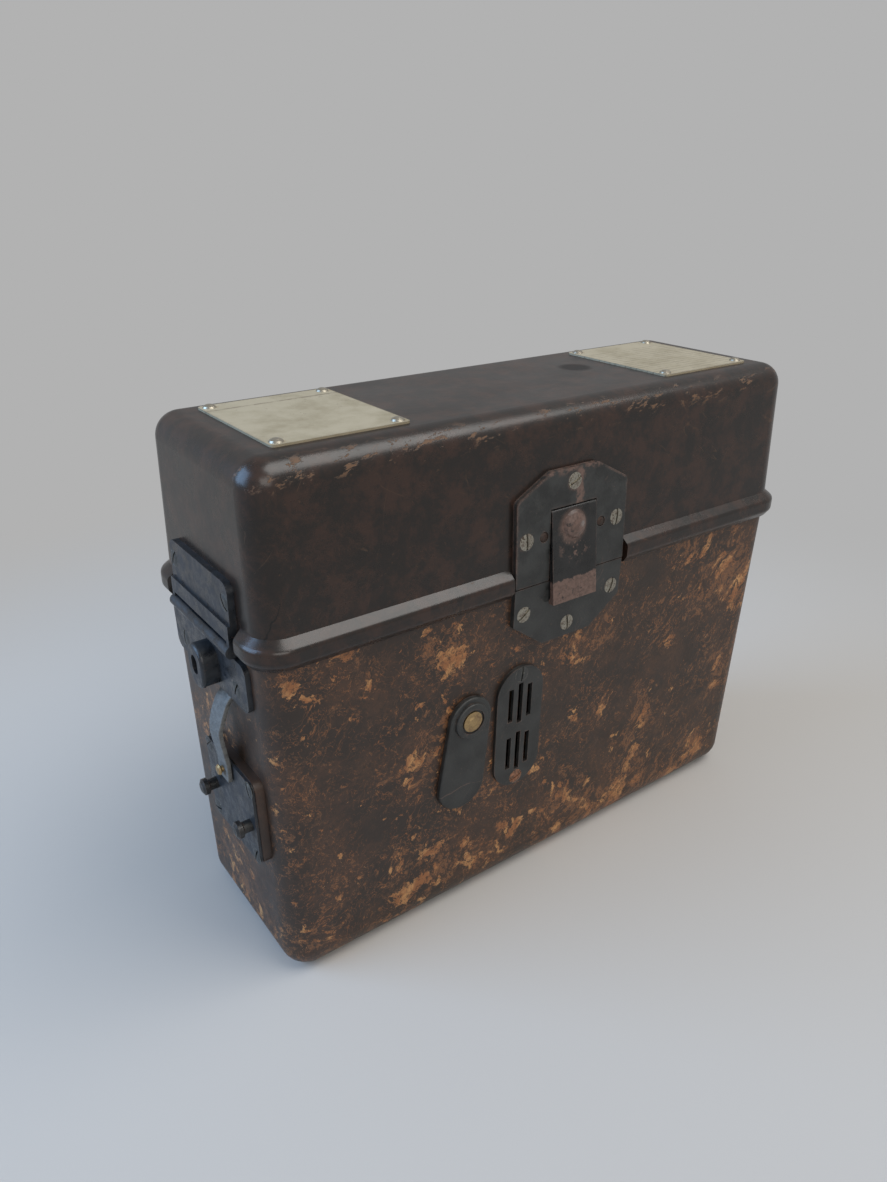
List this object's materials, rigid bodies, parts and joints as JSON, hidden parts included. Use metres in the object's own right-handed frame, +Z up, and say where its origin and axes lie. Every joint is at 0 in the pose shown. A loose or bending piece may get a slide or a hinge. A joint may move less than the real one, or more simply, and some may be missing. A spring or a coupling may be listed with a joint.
{
  "type": "portable field telephone",
  "caption": "Moulded field telephone with a hinged lid, latch, strap fittings, louvred plate, swing cover, line terminals, and handset, crank and generator inside",
  "frame": {"origin": "centre of the flat underside of the case", "axes": "+Z up, +X along the case to the right as seen from the latch side, -Y towards the latch"},
  "size_m": [0.2936, 0.1054, 0.223],
  "materials": {
    "case_bakelite": "satin fibre-filled moulding, orange flakes, scuffed",
    "lid_bakelite": "worn satin gloss, chipped along the top edges",
    "charcoal_paint": "matt paint rubbed down to primer at the edges",
    "worn_black_paint": "black paint worn to bare metal on the stud",
    "brass": "dull, darkened in the recesses",
    "spring_steel": "plain steel, oiled",
    "nickelled_steel": "dull nickel, dirt in the slots",
    "blue_grey_paint": "thin paint with scratches",
    "brown_bakelite": "brown moulding",
    "button_metal": "dull nickel",
    "leather": "grey finish, brown cut edges",
    "cream_enamel": "matt cream enamel with ruled lines",
    "inner_black": "black inside finish",
    "magnet_iron": "dark red painted magnets",
    "gear_brass": "machined",
    "coil_green": "wound silk covering",
    "handset_bakelite": "polished black",
    "crank_steel": "dull plated"
  },
  "bodies": {
    "phone": {"case_shell": "case_bakelite", "catch_plate": "charcoal_paint", "grille_plate": "charcoal_paint", "cover_pivot": "brass", "jack_tubes": "brass", "keeper_stud": "brass", "gongs": "brass", "button_springs": "spring_steel", "bell_yoke": "spring_steel", "case_screws": "nickelled_steel", "chassis_screws": "nickelled_steel", "hinge_pins": "nickelled_steel", "crank_bush": "nickelled_steel", "gong_posts": "nickelled_steel", "generator_frame": "nickelled_steel", "strap_plates": "blue_grey_paint", "strap_lugs": "blue_grey_paint", "terminal_face": "blue_grey_paint", "case_hinge_leaves": "blue_grey_paint", "terminal_block": "brown_bakelite", "jack_block": "brown_bakelite", "keeper_tab": "leather", "chassis_panel": "inner_black", "battery": "inner_black", "bell_plate": "inner_black", "handset_cups": "inner_black", "crank_clips": "inner_black", "induction_coil": "inner_black", "condenser": "inner_black", "key_bush": "inner_black", "magnets": "magnet_iron", "pole_shoes": "magnet_iron", "bell_coils": "coil_green"},
    "lid": {"lid_shell": "lid_bakelite", "latch_plate": "charcoal_paint", "lid_screws": "nickelled_steel", "latch_rivets": "brass", "latch_pin": "worn_black_paint", "latch_spring": "spring_steel", "strap_bars": "blue_grey_paint", "label_plates": "cream_enamel", "label_rivets": "brass", "lid_hinge_leaves": "blue_grey_paint"},
    "latch": {"latch_tongue": "worn_black_paint", "latch_stud": "worn_black_paint"},
    "cover": {"swing_cover": "charcoal_paint"},
    "button_rear": {"line_button_rear": "button_metal"},
    "button_front": {"line_button_front": "button_metal"},
    "test_button": {"test_key": "handset_bakelite"},
    "striker": {"clapper": "spring_steel"},
    "drive": {"drive_shaft": "spring_steel", "drive_gear": "gear_brass"},
    "rotor": {"armature": "spring_steel", "pinion": "spring_steel"},
    "handset": {"handset_body": "handset_bakelite", "handset_caps": "handset_bakelite", "capsules": "handset_bakelite"},
    "talk": {"talk_bar": "handset_bakelite"},
    "crank": {"crank_arm": "crank_steel"},
    "knob": {"crank_knob": "handset_bakelite"}
  },
  "joints": [
    {"name": "lid_hinge", "type": "hinge", "parent": "phone", "child": "lid", "pos_m": [0, 0.05033, 0.14591], "axis": [-1, 0, 0], "range_deg": [0, 105]},
    {"name": "latch_pivot", "type": "hinge", "parent": "lid", "child": "latch", "pos_m": [0, -0.04647, 0.17952], "axis": [-1, 0, 0], "range_deg": [0, 30], "stiffness_Nm_per_rad": 0.05, "springref_deg": -11.46},
    {"name": "cover_pivot", "type": "hinge", "parent": "phone", "child": "cover", "pos_m": [-0.0499, -0.04507, 0.09791], "axis": [0, 0.9998, 0.022], "range_deg": [-6, 110]},
    {"name": "rear_button_push", "type": "slide", "parent": "phone", "child": "button_rear", "axis": [0.9998, 0, 0.019], "range_m": [0, 0.0025], "stiffness_N_per_m": 400, "springref_m": -0.002},
    {"name": "front_button_push", "type": "slide", "parent": "phone", "child": "button_front", "axis": [0.9998, 0, 0.019], "range_m": [0, 0.0025], "stiffness_N_per_m": 400, "springref_m": -0.002},
    {"name": "test_button_push", "type": "slide", "parent": "phone", "child": "test_button", "axis": [0, 0, -1], "range_m": [0, 0.003], "stiffness_N_per_m": 400, "springref_m": -0.002},
    {"name": "striker_swing", "type": "hinge", "parent": "phone", "child": "striker", "pos_m": [-0.023, -0.008, 0.104], "axis": [0, 1, 0], "range_deg": [-4, 4]},
    {"name": "drive_spin", "type": "hinge", "parent": "phone", "child": "drive", "pos_m": [0.083, 0, 0.084], "axis": [1, 0, 0], "continuous": true},
    {"name": "rotor_spin", "type": "hinge", "parent": "phone", "child": "rotor", "pos_m": [0.083, 0, 0.054], "axis": [1, 0, 0], "continuous": true},
    {"name": "handset_lift", "type": "slide", "parent": "phone", "child": "handset", "axis": [0, 0, 1], "range_m": [0, 0.024]},
    {"name": "talk_press", "type": "hinge", "parent": "handset", "child": "talk", "pos_m": [-0.031, 0, 0.1648], "axis": [0, -1, 0], "range_deg": [0, 3], "stiffness_Nm_per_rad": 0.2, "springref_deg": -11.46},
    {"name": "crank_lift", "type": "slide", "parent": "phone", "child": "crank", "axis": [0, 0, 1], "range_m": [0, 0.02]},
    {"name": "knob_spin", "type": "hinge", "parent": "crank", "child": "knob", "pos_m": [0.031, -0.017, 0.1245], "axis": [0, 1, 0], "continuous": true}
  ],
  "couplings": [
    {"joint": "rotor_spin", "follows": "drive_spin", "ratio": -4}
  ]
}
